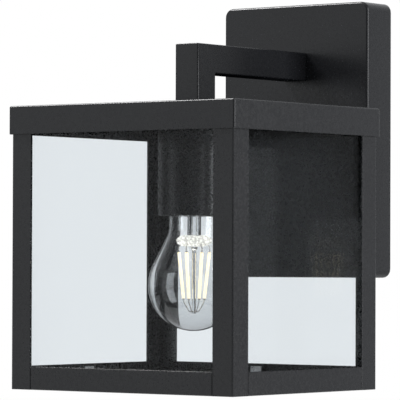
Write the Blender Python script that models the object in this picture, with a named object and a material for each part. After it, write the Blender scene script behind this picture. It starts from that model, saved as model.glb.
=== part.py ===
"""Outdoor wall lantern: a glazed steel cage hung from a square arm on a deep wall plate.

The origin is on the wall, behind the centre of the wall plate. The wall is the plane Y = 0,
the lantern stands out along -Y, and Z is up. Sizes below are in millimetres.
"""

import math

import bmesh
import bpy
from mathutils import Matrix, Vector

MM = 0.001

# ---------------------------------------------------------------- driving dimensions

GAP = 0.3                 # clearance left between two pieces that touch
ARC_MIDDLE = 1 - math.sqrt(0.5)   # of a corner's radius: how far the middle of its arc stands in
SCREW_RECESS_RADIUS = 0.8 # driver recess in the small screws' heads
SCREW_RECESS_DEPTH = 0.7
SCREW_POINT = 0.6         # chamfer at a screw's end

PLATE_WIDTH = 120.0
PLATE_HEIGHT = 186.0
PLATE_DEPTH = 28.0
PLATE_SHEET = 1.2
PLATE_CORNER = 6.0
PLATE_EDGE = 1.5
INNER_EDGE = 0.3          # rounding left inside the folded plate, cap and arm

CAGE_WIDTH = 180.0
CAGE_DEPTH = 157.0
CAGE_HEIGHT = 183.0
CAGE_DROP = 166.0         # from the plate's centre down to the cage's lower edge
ANGLE_SHEET = 1.5
POST_FLANGE = 16.0
RAIL_HEIGHT = 15.0
RAIL_LEDGE = 15.0
ANGLE_EDGE = 0.8          # rounding of the angles' outer corner

CAP_SHEET = 1.2
CAP_SKIRT = 18.5
CAP_CLEARANCE = 0.5       # between the skirt and the cage
CAP_EDGE = 1.1

GLASS = 3.0
PANE_ARRIS = 0.4          # chamfer ground on the panes' edges
CHANNEL_OUTER = 15.5      # height of a top channel's outer flange
CHANNEL_INNER = 9.5       # height of its inner flange
CHANNEL_PLAY = 0.5        # between pane and inner flange
PANE_BITE = 3.5           # how far a pane reaches up past the inner flange's edge

CLIP_SHEET = 0.8
CLIP_WIDTH = 9.0
CLIP_HEIGHT = 11.5
CLIP_REACH = 5.4          # from the clip's screw to the outer face of its leaf
CLIP_FOOT = 3.4           # radius of the clip's foot about its screw
CLIP_WAIST = 1.2          # from the screw outwards to where the foot's arc begins
CLIP_SCREW_RADIUS = 1.5
CLIP_HEAD_RADIUS = 2.7
CLIP_HEAD_HEIGHT = 1.8
CLIP_HEAD_EDGE = 0.7

ARM_SIZE = 19.0
ARM_WALL = 1.5
ARM_EDGE = 1.0
ARM_REACH = 112.0         # from the plate's front to the cage's centre line
ARM_RISE = 41.5           # from the cap's top to the arm's top
ARM_INNER_EDGE = 0.5
INSERT_HEIGHT = 12.0

NIPPLE_RADIUS = 5.0
NIPPLE_BORE = 3.5
NIPPLE_STAND = 3.0        # how far the nipple stands above its insert
NIPPLE_SHORT = 1.0        # how far it stops short of the socket's chamber

CUP_RADIUS = 24.0
CUP_WALL = 1.0
CUP_EDGE = 0.4
CUP_LENGTH = 69.5
NUT_FLATS = 14.0
NUT_HEIGHT = 4.0

SOCKET_WALL = 4.0         # of the socket's body, round the shell
SOCKET_NECK_RADIUS = 10.0
SOCKET_NECK = 9.0
SOCKET_SHOULDER = 4.0
SOCKET_CHAMBER_RADIUS = 13.5
SOCKET_CHAMBER = 13.0
SOCKET_FLOOR = 3.5
SOCKET_CAVITY = 29.0
SOCKET_INSIDE_STEP = 1.0  # the chamber's cone starts this much below the outer one
LIVE_HOLE = -7.0          # where each wire passes the socket's floor, along X
NEUTRAL_HOLE = 11.3

THREAD_RADIUS = 12.7      # mean radius of the bulb's screw thread
THREAD_DEPTH = 0.8
THREAD_PITCH = 3.62
THREAD_TURNS = 5
THREAD_PLAY = 0.45
SHELL_WALL = 0.65         # of the socket's shell, at its roots
SHELL_LIP_BORE = 9.7
SHELL_SHORT = 0.6         # from the body's lower edge up to the shell's
CONTACT_SHEET = 0.5
CONTACT_DROP = 1.8        # how far the spring contact's tongue hangs down
CONTACT_WIDTH = 6.0
CONTACT_ANCHOR = -8.6     # where the contact's fixed end lies, along X
CONTACT_BEND = -4.0       # where it starts to slope down
CONTACT_FLAT = -1.5       # where its tongue is level again
CONTACT_END = 4.0

BULB_LENGTH = 107.0
BULB_RADIUS = 30.0
BULB_WALL = 0.9
BULB_NECK = 16.3
COLLAR_CLEARANCE = 0.5    # between the base and the glass inside it
BULB_SLOPE = 26.0         # degrees between the bulb's flank and its axis
BULB_FILLET = 20.0        # radius between flank and neck
NECK_SHOULDER = 5.0       # height of the glass's step in to the base
NECK_IN_BASE = 7.0        # how far the glass stands inside the base
BASE_LENGTH = 27.0
BASE_SHEET = 0.4
BASE_SHOULDER = 2.3       # from the insulator's cone down to the first crest
BASE_CONE_RADIUS = 9.0
INSULATOR_HEIGHT = 3.0
INSULATOR_EDGE = 0.7
BUTTON_RADIUS = 4.7
BUTTON_HEIGHT = 1.2

STEM_RADIUS = 4.5
STEM_FLARE = 10.0         # height over which the stem widens to the neck
STEM_FLARE_RIM = 1.0
STEM_FLARE_WIDER = 1.2    # half-way up the flare
STEM_IN_BASE = 4.0
CROWN_RADIUS = 12.5
CROWN_HEIGHT = 7.8
CROWN_TAPER = 4.0         # height over which the crown runs out into the rod
ROD_RADIUS = 1.3
FILAMENTS = 6
FILAMENT_RADIUS = 1.0
FILAMENT_PIN = 0.35
FILAMENT_PIN_FOOT = 3.8   # bare length of pin below each stick
FILAMENT_PIN_TOP = 3.9    # bare length of pin above it
FILAMENT_TOP = 10.4       # radius of the ring of filament tops
FILAMENT_FOOT = 6.5       # radius of the ring of filament feet
FILAMENT_RISE = 37.1      # height between feet and tops
FILAMENT_TURN = 37.0      # degrees from +X to the first filament
HUB_RADIUS = 2.8
HUB_SHEET = 0.6
HUB_DISH = 4.7            # how far the spider's arms rise from its middle to the filaments' feet
HUB_ARM = 1.0             # width of an arm
HUB_LIFT = 12.4           # from the envelope's lowest point up to the hub
ROD_BELOW_HUB = 1.0

WIRE_RADIUS = 1.2
WIRE_BEND = 7.0           # reach of the wires' turn from the arm's leg into the arm
WIRE_STRAIGHT = 1.5       # run above the socket's floor before a wire bends
WIRE_DROP = 28.0          # from the arm's middle down to the wires' ends
WIRE_END_X = 13.0         # sideways reach of the wires' ends
WIRE_NUT_LENGTH = 22.0
WIRE_NUT_MOUTH = 6.2
WIRE_NUT_SKIRT = 6.0      # height of its straight part
WIRE_NUT_TIP = 4.0
WIRE_NUT_EDGE = 1.2       # chamfer at its closed end
WIRE_NUT_BORE = 3.2
WIRE_NUT_BORE_DEPTH = 7.0
WIRE_HOLE = 6.0           # radius of the wires' hole in the wall plate

BRACKET_WIDTH = 20.0
BRACKET_SHEET = 1.6
BRACKET_EAR = 20.0
BRACKET_SLOT_HEIGHT = 40.5
BRACKET_SLOT_LENGTH = 16.0
BRACKET_SLOT_WIDTH = 4.8
PLATE_SCREW_RADIUS = 1.75
PLATE_SCREW_HEAD = 3.4
PLATE_SCREW_LENGTH = 9.0
GROUND_SCREW_HEIGHT = -20.0
GROUND_SCREW_RADIUS = 2.0
GROUND_HEAD_RADIUS = 4.4
GROUND_HEAD_HEIGHT = 2.4
GROUND_STUD_HEIGHT = -48.0
GROUND_STUD_LENGTH = 10.0
GROUND_NUT_HEIGHT = 2.6
GROUND_WIRE_RADIUS = 0.9
GROUND_WIRE_SWING = 8.0   # how far the ground wire swings out to the side
GROUND_STUD_FLANGE = 1.0

# ---------------------------------------------------------------- places that follow

CENTRE_Y = -(PLATE_DEPTH + ARM_REACH)
CAGE_BOTTOM = -CAGE_DROP
CAGE_TOP = CAGE_BOTTOM + CAGE_HEIGHT
LEDGE_TOP = CAGE_BOTTOM + ANGLE_SHEET
CAP_UNDER = CAGE_TOP + GAP
CAP_TOP = CAP_UNDER + CAP_SHEET
ARM_FOOT = CAP_TOP + GAP
ARM_TOP = CAP_TOP + ARM_RISE
ARM_LEVEL = ARM_TOP - ARM_SIZE / 2
ARM_INSIDE = ARM_SIZE - 2 * ARM_WALL
INSERT_TOP = ARM_FOOT + INSERT_HEIGHT

PANE_OUTSIDE = ANGLE_SHEET + GAP                 # depth of a pane's outer face in the wall
PANE_INSIDE = PANE_OUTSIDE + GLASS
PANE_BOTTOM = LEDGE_TOP + GAP
CHANNEL_INNER_EDGE = CAGE_TOP - CHANNEL_INNER
PANE_TOP = CHANNEL_INNER_EDGE + PANE_BITE
CLIP_LEAF = PANE_INSIDE + GAP
CLIP_PIVOT = CLIP_LEAF + CLIP_REACH              # depth of the clip's screw in the wall
CLIP_BOTTOM = LEDGE_TOP + GAP

CUP_TOP = CAP_UNDER - GAP
CUP_RIM = CUP_TOP - CUP_LENGTH
NUT_TOP = CUP_TOP - CUP_WALL - GAP
NUT_BOTTOM = NUT_TOP - NUT_HEIGHT
SOCKET_TOP = NUT_BOTTOM - GAP
SOCKET_NECK_FOOT = SOCKET_TOP - SOCKET_NECK
CHAMBER_TOP = SOCKET_NECK_FOOT - SOCKET_SHOULDER
FLOOR_TOP = CHAMBER_TOP - SOCKET_CHAMBER
FLOOR_UNDER = FLOOR_TOP - SOCKET_FLOOR
SOCKET_BOTTOM = FLOOR_UNDER - SOCKET_CAVITY
SHELL_OUTER = THREAD_RADIUS + THREAD_PLAY + THREAD_DEPTH / 2 + SHELL_WALL
SOCKET_CAVITY_RADIUS = SHELL_OUTER + GAP
SOCKET_RADIUS = SOCKET_CAVITY_RADIUS + SOCKET_WALL
CONTACT_TOP = FLOOR_UNDER - GAP
TONGUE_UNDER = CONTACT_TOP - CONTACT_DROP - CONTACT_SHEET
BULB_TIP = TONGUE_UNDER - GAP
BULB_BOTTOM = BULB_TIP - BULB_LENGTH
BULB_CENTRE = BULB_BOTTOM + BULB_RADIUS
BULB_COLLAR = THREAD_RADIUS - THREAD_DEPTH / 2 - BASE_SHEET - COLLAR_CLEARANCE
BASE_BOTTOM = BULB_TIP - BASE_LENGTH
BASE_CONE_TOP = BULB_TIP - BUTTON_HEIGHT - INSULATOR_HEIGHT
THREAD_TOP = BASE_CONE_TOP - BASE_SHOULDER
HUB_BOTTOM = BULB_BOTTOM + HUB_LIFT
FILAMENT_FOOT_Z = HUB_BOTTOM + HUB_SHEET + HUB_DISH + GAP
FILAMENT_TOP_Z = FILAMENT_FOOT_Z + FILAMENT_RISE
CROWN_BOTTOM = FILAMENT_TOP_Z + GAP

EAR_OUTSIDE = PLATE_HEIGHT / 2 - PLATE_SHEET - GAP
PLATE_SCREW_Y = -PLATE_DEPTH / 2
PLATE_INSIDE_Y = -PLATE_DEPTH + PLATE_SHEET
WIRE_END_Y = -PLATE_DEPTH / 2
WIRE_END_Z = ARM_LEVEL - WIRE_DROP
WIRE_OFFSET = WIRE_RADIUS + GAP / 2

# For each wall of the cage: its turn about Z, half its length, and its face's distance from the centre.
WALLS = {
    "front": (0, CAGE_WIDTH / 2, CAGE_DEPTH / 2),
    "right": (90, CAGE_DEPTH / 2, CAGE_WIDTH / 2),
    "rear": (180, CAGE_WIDTH / 2, CAGE_DEPTH / 2),
    "left": (270, CAGE_DEPTH / 2, CAGE_WIDTH / 2),
}


# ---------------------------------------------------------------- materials

def finish(name, colour, roughness, metallic, transmission=0.0):
    material = bpy.data.materials.new(name)
    material.use_nodes = True
    shader = material.node_tree.nodes["Principled BSDF"]
    shader.inputs["Base Color"].default_value = (*colour, 1.0)
    shader.inputs["Roughness"].default_value = roughness
    shader.inputs["Metallic"].default_value = metallic
    shader.inputs["Transmission Weight"].default_value = transmission
    material.diffuse_color = (*colour, 1.0 - 0.7 * transmission)
    return material


def make_materials():
    return {
        "black": finish("black_powder_coat", (0.028, 0.029, 0.032), 0.45, 0.3),
        "glass": finish("clear_glass", (0.86, 0.92, 0.92), 0.03, 0.0, 0.95),
        "zinc": finish("zinc_plate", (0.55, 0.56, 0.57), 0.35, 1.0),
        "brass": finish("brass", (0.72, 0.53, 0.24), 0.3, 1.0),
        "nickel": finish("nickel", (0.66, 0.65, 0.62), 0.25, 1.0),
        "porcelain": finish("porcelain", (0.82, 0.81, 0.77), 0.3, 0.0),
        "black_wire": finish("black_insulation", (0.02, 0.02, 0.02), 0.5, 0.0),
        "white_wire": finish("white_insulation", (0.75, 0.75, 0.72), 0.5, 0.0),
        "green": finish("green_plate", (0.05, 0.3, 0.12), 0.4, 0.4),
        "nut_plastic": finish("orange_plastic", (0.8, 0.28, 0.05), 0.45, 0.0),
        "dark_glass": finish("base_glass", (0.03, 0.03, 0.05), 0.15, 0.0),
        "phosphor": finish("phosphor", (0.95, 0.72, 0.28), 0.5, 0.0),
    }


# ---------------------------------------------------------------- building blocks

def clear_scene():
    for item in list(bpy.data.objects):
        bpy.data.objects.remove(item, do_unlink=True)


def add_mesh(name, points, faces, material, origin=(0.0, 0.0, 0.0), smooth=True):
    """Make one object from points in millimetres; its own origin is put at origin."""
    home = Vector(origin)
    work = bmesh.new()
    corners = [work.verts.new((Vector(point) - home) * MM) for point in points]
    for face in faces:
        work.faces.new([corners[index] for index in face])
    bmesh.ops.recalc_face_normals(work, faces=work.faces)
    mesh = bpy.data.meshes.new(name)
    work.to_mesh(mesh)
    work.free()
    if material:
        mesh.materials.append(material)
    if smooth:
        mesh.shade_smooth()
        mesh.set_sharp_from_angle(angle=math.radians(35))
    item = bpy.data.objects.new(name, mesh)
    item.location = home * MM
    bpy.context.scene.collection.objects.link(item)
    return item


def skin(loops, ends):
    """Faces over loops of equal length: ends is 'caps' to close both ends, or 'ring' to join them."""
    count = len(loops[0])
    pairs = len(loops) if ends == "ring" else len(loops) - 1
    faces = []
    for row in range(pairs):
        here = row * count
        there = ((row + 1) % len(loops)) * count
        for column in range(count):
            after = (column + 1) % count
            faces.append((here + column, here + after, there + after, there + column))
    if ends == "caps":
        faces.append(tuple(range(count)))
        faces.append(tuple(range((len(loops) - 1) * count, len(loops) * count)))
    return faces


def loft(name, loops, material, ends="caps", **options):
    points = [point for loop in loops for point in loop]
    return add_mesh(name, points, skin(loops, ends), material, **options)


def rounded_rectangle(half_width, half_height, radius, steps):
    """Corner arcs of steps segments each, counter-clockwise."""
    outline = []
    for quarter, (side_x, side_y) in enumerate(((1, 1), (-1, 1), (-1, -1), (1, -1))):
        for step in range(steps + 1):
            angle = math.radians(90 * (quarter + step / steps))
            outline.append((side_x * (half_width - radius) + radius * math.cos(angle),
                            side_y * (half_height - radius) + radius * math.sin(angle)))
    return outline


def turned_points(profile, centre, axis, segments):
    """Rings of a turned piece. A profile point is (radius, height along axis)."""
    turn = Vector((0, 0, 1)).rotation_difference(Vector(axis)).to_matrix()
    middle = Vector(centre)
    points = []
    rings = []
    for radius, height in profile:
        ring = []
        for step in range(1 if radius == 0 else segments):
            angle = 2 * math.pi * step / segments
            local = Vector((radius * math.cos(angle), radius * math.sin(angle), height))
            ring.append(len(points))
            points.append(middle + turn @ local)
        rings.append(ring)
    return points, rings


def turned(name, profile, material, centre, axis=(0, 0, 1), segments=24, **options):
    """A turned solid: its profile ends on the axis at both ends, or else it closes on itself."""
    points, rings = turned_points(profile, centre, axis, segments)
    solid = len(rings[0]) == 1
    faces = []
    for row in range(len(rings) - 1 if solid else len(rings)):
        here = rings[row]
        there = rings[(row + 1) % len(rings)]
        for step in range(segments):
            after = (step + 1) % segments
            corners = [here[step % len(here)], here[after % len(here)],
                       there[after % len(there)], there[step % len(there)]]
            face = [corner for place, corner in enumerate(corners) if corner not in corners[:place]]
            faces.append(tuple(face))
    return add_mesh(name, points, faces, material, **options)


def box_points(low, high):
    return [(x, y, z) for z in (low[2], high[2])
            for x, y in ((low[0], low[1]), (high[0], low[1]), (high[0], high[1]), (low[0], high[1]))]


def cut_with(item, cutter):
    """Cut a hole; the cutter stays in the file as a hidden guide."""
    cutter.hide_render = True
    cutter.display_type = "WIRE"
    modifier = item.modifiers.new(cutter.name, "BOOLEAN")
    modifier.operation = "DIFFERENCE"
    modifier.solver = "EXACT"
    modifier.object = cutter


def drill(item, name, centre, axis, radius, depth, segments=20):
    """Cut a round hole of the given radius, running depth each way from centre."""
    profile = ((0, -depth), (radius, -depth), (radius, depth), (0, depth))
    cut_with(item, turned(name, profile, None, centre, axis, segments, smooth=False))


def cut_box(item, name, low, high):
    points = box_points(low, high)
    cut_with(item, add_mesh(name, points, skin([range(4), range(4, 8)], "caps"), None, smooth=False))


def add_nut(name, centre, axis, foot, height, flats, thread_radius, material):
    """A hexagon nut from foot up along its axis, clear of the thread it holds on to."""
    corner = flats / 2 / math.cos(math.radians(30))
    profile = ((0, foot), (corner, foot), (corner, foot + height), (0, foot + height))
    nut = turned(name, profile, material, centre, axis, 6, smooth=False)
    middle = Vector(centre) + Vector(axis) * (foot + height / 2)
    drill(nut, f"{name}_bore_cutter", middle, axis, thread_radius + GAP, height)
    return nut


def smooth_route(stops, spacing):
    """Points about spacing apart on a Catmull-Rom curve through the stops."""
    stops = [Vector(stop) for stop in stops]
    padded = [2 * stops[0] - stops[1], *stops, 2 * stops[-1] - stops[-2]]
    route = []
    for first, second, third, fourth in zip(padded, padded[1:], padded[2:], padded[3:]):
        count = max(1, round((third - second).length / spacing))
        for step in range(count):
            t = step / count
            route.append(0.5 * (2 * second + (third - first) * t
                                + (2 * first - 5 * second + 4 * third - fourth) * t ** 2
                                + (3 * second - first - 3 * third + fourth) * t ** 3))
    route.append(stops[-1])
    return route


def add_wire(name, stops, radius, material):
    curve = bpy.data.curves.new(name, "CURVE")
    curve.dimensions = "3D"
    curve.bevel_depth = radius * MM
    curve.bevel_resolution = 1
    curve.use_fill_caps = True
    route = smooth_route(stops, 3.2 * radius)
    spline = curve.splines.new("POLY")
    spline.points.add(len(route) - 1)
    for point, place in zip(spline.points, route):
        point.co = (*(place * MM), 1.0)
    curve.materials.append(material)
    item = bpy.data.objects.new(name, curve)
    bpy.context.scene.collection.objects.link(item)
    return item


def on_wall(wall, along, depth, height):
    """A point of a cage wall: along its length, depth inwards from its outer face, and height."""
    turn, _, distance = WALLS[wall]
    local = Matrix.Rotation(math.radians(turn), 3, "Z") @ Vector((along, depth - distance, 0))
    return Vector((local.x, CENTRE_Y + local.y, height))


# ---------------------------------------------------------------- the wall side

def plate_loop(inset, y, corner):
    outline = rounded_rectangle(PLATE_WIDTH / 2 - inset, PLATE_HEIGHT / 2 - inset, corner, 5)
    return [(x, y, z) for x, z in outline]


def make_wall_plate(materials):
    inner_corner = PLATE_CORNER - PLATE_SHEET
    loops = [
        plate_loop(PLATE_SHEET + INNER_EDGE, PLATE_INSIDE_Y, inner_corner - INNER_EDGE),
        plate_loop(PLATE_SHEET, PLATE_INSIDE_Y + INNER_EDGE, inner_corner),
        plate_loop(PLATE_SHEET, 0, inner_corner),
        plate_loop(0, 0, PLATE_CORNER),
    ]
    for step in range(4):
        angle = math.radians(30 * step)
        inset = PLATE_EDGE * (1 - math.cos(angle))
        y = -PLATE_DEPTH + PLATE_EDGE * (1 - math.sin(angle))
        loops.append(plate_loop(inset, y, PLATE_CORNER - inset))
    plate = loft("wall_plate", loops, materials["black"])
    front = (0, -PLATE_DEPTH, ARM_LEVEL)
    drill(plate, "wire_hole_cutter", front, (0, 1, 0), WIRE_HOLE, 3 * PLATE_SHEET)
    for name, up in (("top", 1), ("bottom", -1)):
        # The cone slopes, so twice the gap along the radius leaves one gap across it.
        wide = PLATE_SCREW_HEAD + 2 * GAP
        narrow = PLATE_SCREW_RADIUS + 2 * GAP
        profile = ((0, 1), (wide + 1, 1), (wide, 0), (narrow, -PLATE_SHEET),
                   (narrow, -3 * PLATE_SHEET), (0, -3 * PLATE_SHEET))
        centre = (0, PLATE_SCREW_Y, up * PLATE_HEIGHT / 2)
        cutter = turned(f"countersink_{name}_cutter", profile, None, centre, (0, 0, up), 20, smooth=False)
        cut_with(plate, cutter)


def make_bracket(materials):
    half = BRACKET_WIDTH / 2
    inside = EAR_OUTSIDE - BRACKET_SHEET
    bend = 1.2
    outline = [(-BRACKET_EAR, EAR_OUTSIDE), (-bend, EAR_OUTSIDE), (0, EAR_OUTSIDE - bend)]
    outline += [(y, -z) for y, z in reversed(outline)]
    outline += [(-BRACKET_EAR, -inside), (-BRACKET_SHEET, -inside),
                (-BRACKET_SHEET, inside), (-BRACKET_EAR, inside)]
    loops = [[(x, y, z) for y, z in outline] for x in (-half, half)]
    bracket = loft("mounting_bracket", loops, materials["zinc"])
    for name, up in (("top", 1), ("bottom", -1)):
        ear = (0, PLATE_SCREW_Y, up * EAR_OUTSIDE)
        drill(bracket, f"ear_hole_{name}_cutter", ear, (0, 0, 1), PLATE_SCREW_RADIUS + GAP, 2 * BRACKET_SHEET)
        middle = up * BRACKET_SLOT_HEIGHT
        low = (-BRACKET_SLOT_WIDTH / 2, -2 * BRACKET_SHEET, middle - BRACKET_SLOT_LENGTH / 2)
        high = (BRACKET_SLOT_WIDTH / 2, BRACKET_SHEET, middle + BRACKET_SLOT_LENGTH / 2)
        cut_box(bracket, f"slot_{name}_cutter", low, high)
    ground = (0, 0, GROUND_SCREW_HEIGHT)
    drill(bracket, "ground_hole_cutter", ground, (0, 1, 0), GROUND_SCREW_RADIUS + GAP, 2 * BRACKET_SHEET)


def make_plate_screws(materials):
    for name, up in (("top", 1), ("bottom", -1)):
        head_foot = -PLATE_SHEET
        head_top = -0.1
        profile = ((0, head_top - SCREW_RECESS_DEPTH), (SCREW_RECESS_RADIUS, head_top),
                   (PLATE_SCREW_HEAD, head_top), (PLATE_SCREW_RADIUS, head_foot),
                   (PLATE_SCREW_RADIUS, SCREW_POINT - PLATE_SCREW_LENGTH),
                   (PLATE_SCREW_RADIUS - SCREW_POINT, -PLATE_SCREW_LENGTH), (0, -PLATE_SCREW_LENGTH))
        centre = (0, PLATE_SCREW_Y, up * PLATE_HEIGHT / 2)
        turned(f"plate_screw_{name}", profile, materials["black"], centre, (0, 0, up), 20)


def make_grounding(materials):
    wire_room = 2 * GROUND_WIRE_RADIUS + 2 * GAP
    head_foot = BRACKET_SHEET + wire_room
    profile = ((0, GAP), (GROUND_SCREW_RADIUS, GAP), (GROUND_SCREW_RADIUS, head_foot),
               (GROUND_HEAD_RADIUS, head_foot), (GROUND_HEAD_RADIUS, head_foot + GROUND_HEAD_HEIGHT),
               (0, head_foot + GROUND_HEAD_HEIGHT))
    screw_centre = (0, 0, GROUND_SCREW_HEIGHT)
    turned("bracket_ground_screw", profile, materials["green"], screw_centre, (0, -1, 0), 6, smooth=False)

    flange = GROUND_STUD_FLANGE
    stud_centre = (0, PLATE_INSIDE_Y + GAP, GROUND_STUD_HEIGHT)
    profile = ((0, 0), (GROUND_HEAD_RADIUS, 0), (GROUND_HEAD_RADIUS, flange), (GROUND_SCREW_RADIUS, flange),
               (GROUND_SCREW_RADIUS, GROUND_STUD_LENGTH), (0, GROUND_STUD_LENGTH))
    turned("plate_ground_stud", profile, materials["zinc"], stud_centre, (0, 1, 0), 12)
    nut_foot = flange + wire_room
    add_nut("plate_ground_nut", stud_centre, (0, 1, 0), nut_foot, GROUND_NUT_HEIGHT,
            2 * GROUND_HEAD_RADIUS, GROUND_SCREW_RADIUS, materials["zinc"])

    beside = GROUND_SCREW_RADIUS + GROUND_WIRE_RADIUS + GAP
    screw_level = -(BRACKET_SHEET + wire_room / 2)
    stud_level = stud_centre[1] + flange + wire_room / 2
    middle = (GROUND_SCREW_HEIGHT + GROUND_STUD_HEIGHT) / 2
    apart = (GROUND_SCREW_HEIGHT - GROUND_STUD_HEIGHT) / 5
    halfway = beside + GROUND_WIRE_SWING / 2
    aside = beside + GROUND_WIRE_SWING
    stops = ((beside, screw_level, GROUND_SCREW_HEIGHT),
             (halfway, screw_level - GAP, GROUND_SCREW_HEIGHT),
             (aside, (2 * screw_level + stud_level) / 3, middle + apart),
             (aside, (screw_level + 2 * stud_level) / 3, middle - apart),
             (halfway, stud_level + GAP, GROUND_STUD_HEIGHT),
             (beside, stud_level, GROUND_STUD_HEIGHT))
    add_wire("ground_wire", stops, GROUND_WIRE_RADIUS, materials["green"])


# ---------------------------------------------------------------- the arm

def arm_loops(size, radius):
    """Square outline at the leg's foot, at the mitre and at the wall plate."""
    outline = rounded_rectangle(size / 2, size / 2, radius, 2)
    foot = [(x, CENTRE_Y + y, ARM_FOOT) for x, y in outline]
    mitre = [(x, CENTRE_Y + y, ARM_LEVEL - y) for x, y in outline]
    end = [(x, -PLATE_DEPTH - GAP, ARM_LEVEL - y) for x, y in outline]
    return [foot, mitre, end]


def make_arm(materials):
    outside = arm_loops(ARM_SIZE, ARM_EDGE)
    inside = arm_loops(ARM_INSIDE, ARM_INNER_EDGE)
    loft("arm", outside + inside[::-1], materials["black"], ends="ring")

    half = ARM_INSIDE / 2 - GAP
    outline = rounded_rectangle(half, half, ARM_EDGE, 2)
    loops = [[(x, CENTRE_Y + y, z) for x, y in outline] for z in (ARM_FOOT, INSERT_TOP)]
    insert = loft("arm_insert", loops, materials["zinc"])
    middle = (0, CENTRE_Y, (ARM_FOOT + INSERT_TOP) / 2)
    drill(insert, "insert_bore_cutter", middle, (0, 0, 1), NIPPLE_RADIUS + GAP, INSERT_HEIGHT)

    top = INSERT_TOP + NIPPLE_STAND
    bottom = SOCKET_NECK_FOOT + NIPPLE_SHORT
    profile = ((NIPPLE_BORE, bottom), (NIPPLE_RADIUS, bottom), (NIPPLE_RADIUS, top), (NIPPLE_BORE, top))
    turned("top_nipple", profile, materials["zinc"], (0, CENTRE_Y, 0))


# ---------------------------------------------------------------- the cage

def cap_loop(inset, z, corner):
    stand_off = CAP_CLEARANCE + CAP_SHEET - inset
    outline = rounded_rectangle(CAGE_WIDTH / 2 + stand_off, CAGE_DEPTH / 2 + stand_off, corner, 3)
    return [(x, CENTRE_Y + y, z) for x, y in outline]


def make_cap(materials):
    skirt_edge = CAP_TOP - CAP_SKIRT
    loops = [
        cap_loop(CAP_SHEET, CAP_UNDER, INNER_EDGE),
        cap_loop(CAP_SHEET, skirt_edge, INNER_EDGE),
        cap_loop(0, skirt_edge, CAP_EDGE),
    ]
    for step in range(4):
        angle = math.radians(30 * step)
        inset = (CAP_EDGE - 0.1) * (1 - math.cos(angle))
        z = CAP_TOP - CAP_EDGE * (1 - math.sin(angle))
        loops.append(cap_loop(inset, z, CAP_EDGE - inset))
    cap = loft("cap", loops, materials["black"])
    middle = (0, CENTRE_Y, CAP_UNDER)
    drill(cap, "cap_hole_cutter", middle, (0, 0, 1), NIPPLE_RADIUS + GAP, 4 * CAP_SHEET)


def make_posts(materials):
    edge = ANGLE_EDGE
    flange = POST_FLANGE
    outline = [(0, flange), (0, edge), (ARC_MIDDLE * edge, ARC_MIDDLE * edge), (edge, 0), (flange, 0),
               (flange, ANGLE_SHEET), (ANGLE_SHEET, ANGLE_SHEET), (ANGLE_SHEET, flange)]
    for name, side_x, side_y in (("front_left", -1, -1), ("front_right", 1, -1),
                                 ("rear_left", -1, 1), ("rear_right", 1, 1)):
        loops = []
        for z in (CAGE_BOTTOM, CAGE_TOP):
            loops.append([(side_x * (CAGE_WIDTH / 2 - x), CENTRE_Y + side_y * (CAGE_DEPTH / 2 - y), z)
                          for x, y in outline])
        loft(f"post_{name}", loops, materials["black"])


def make_bar(name, wall, outline, half_length, material):
    """A straight bar along a wall; its outline is (depth inwards, height)."""
    loops = [[on_wall(wall, along, depth, height) for depth, height in outline]
             for along in (-half_length, half_length)]
    return loft(name, loops, material)


def make_rails(materials):
    edge = ANGLE_EDGE
    rail = [(0, RAIL_HEIGHT), (0, edge), (ARC_MIDDLE * edge, ARC_MIDDLE * edge), (edge, 0), (RAIL_LEDGE, 0),
            (RAIL_LEDGE, ANGLE_SHEET), (ANGLE_SHEET, ANGLE_SHEET), (ANGLE_SHEET, RAIL_HEIGHT)]
    rail = [(depth, CAGE_BOTTOM + height) for depth, height in rail]
    web = PANE_INSIDE + CHANNEL_PLAY
    channel = [(0, CAGE_TOP - CHANNEL_OUTER), (0, CAGE_TOP), (web + ANGLE_SHEET, CAGE_TOP),
               (web + ANGLE_SHEET, CHANNEL_INNER_EDGE), (web, CHANNEL_INNER_EDGE),
               (web, CAGE_TOP - ANGLE_SHEET), (ANGLE_SHEET, CAGE_TOP - ANGLE_SHEET),
               (ANGLE_SHEET, CAGE_TOP - CHANNEL_OUTER)]
    for wall, (_, half_wall, _) in WALLS.items():
        half_length = half_wall - POST_FLANGE - GAP
        bar = make_bar(f"bottom_rail_{wall}", wall, rail, half_length, materials["black"])
        screw = on_wall(wall, 0, CLIP_PIVOT, LEDGE_TOP)
        drill(bar, f"clip_hole_{wall}_cutter", screw, (0, 0, 1), CLIP_SCREW_RADIUS + GAP, 2 * ANGLE_SHEET, 16)
        make_bar(f"top_channel_{wall}", wall, channel, half_length, materials["black"])


def make_panes(materials):
    for wall, (_, half_wall, _) in WALLS.items():
        # The front and rear panes span the cage; the side panes stand between them.
        inset = PANE_OUTSIDE if wall in ("front", "rear") else PANE_INSIDE + GAP
        half = half_wall - inset
        loops = []
        for depth, take in ((0, PANE_ARRIS), (PANE_ARRIS, 0), (GLASS - PANE_ARRIS, 0), (GLASS, PANE_ARRIS)):
            bottom = PANE_BOTTOM + take
            top = PANE_TOP - take
            corners = ((take - half, bottom), (half - take, bottom), (half - take, top), (take - half, top))
            loops.append([on_wall(wall, along, PANE_OUTSIDE + depth, height) for along, height in corners])
        loft(f"pane_{wall}", loops, materials["glass"])


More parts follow.
